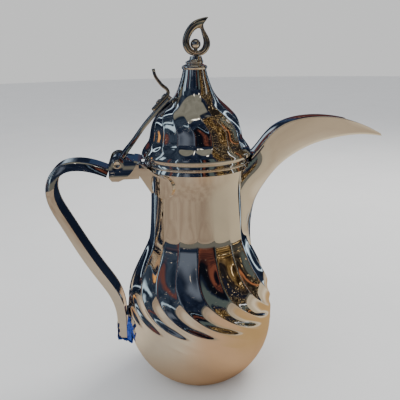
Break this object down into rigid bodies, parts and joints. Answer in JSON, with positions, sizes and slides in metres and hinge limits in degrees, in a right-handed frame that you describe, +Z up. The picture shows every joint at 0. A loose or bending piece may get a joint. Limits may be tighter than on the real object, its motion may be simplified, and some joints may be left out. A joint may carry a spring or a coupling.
{
  "type": "dallah coffee pot",
  "caption": "Tall round coffee pot with a swirl-fluted body, a long beaked spout, a looped handle and a hinged dome lid with a flame finial.",
  "frame": {"origin": "centre of the round resting face under the body", "axes": "+Z up along the body's axis, +X towards the spout's tip, handle and lid hinge on -X, hinge axis along Y"},
  "size_m": [0.2751, 0.1236, 0.3],
  "materials": {
    "polished_steel": "mirror-polished stainless sheet",
    "cast_metal": "polished casting with toned recesses",
    "plain_steel": "plain turned or pressed steel",
    "blue_film": "torn remnant of thin protective film"
  },
  "bodies": {
    "pot": {"body_shell": "polished_steel", "mouth_collar": "polished_steel", "spout_trough": "polished_steel", "spout_cover_strip": "polished_steel", "hinge_block": "polished_steel", "neck_bracket": "polished_steel", "handle_outer_channel": "polished_steel", "handle_inner_strip": "polished_steel", "handle_foot_plate": "polished_steel", "hinge_pin": "polished_steel", "pin_washers": "polished_steel", "base_disc": "plain_steel", "protective_film": "blue_film"},
    "lid": {"hinge_barrel": "polished_steel", "lid_dome": "polished_steel", "lid_rim_ring": "polished_steel", "finial_cap": "polished_steel", "finial_ring": "cast_metal", "finial_ball": "cast_metal", "finial_stud": "plain_steel", "finial_washer": "plain_steel", "finial_nut": "plain_steel", "lid_lever": "polished_steel", "thumb_tab": "polished_steel", "lever_rivets": "polished_steel"}
  },
  "joints": [
    {"name": "lid_hinge", "type": "hinge", "parent": "pot", "child": "lid", "pos_m": [-0.063, 0, 0.1924], "axis": [0, -1, 0], "range_deg": [0, 95]}
  ]
}
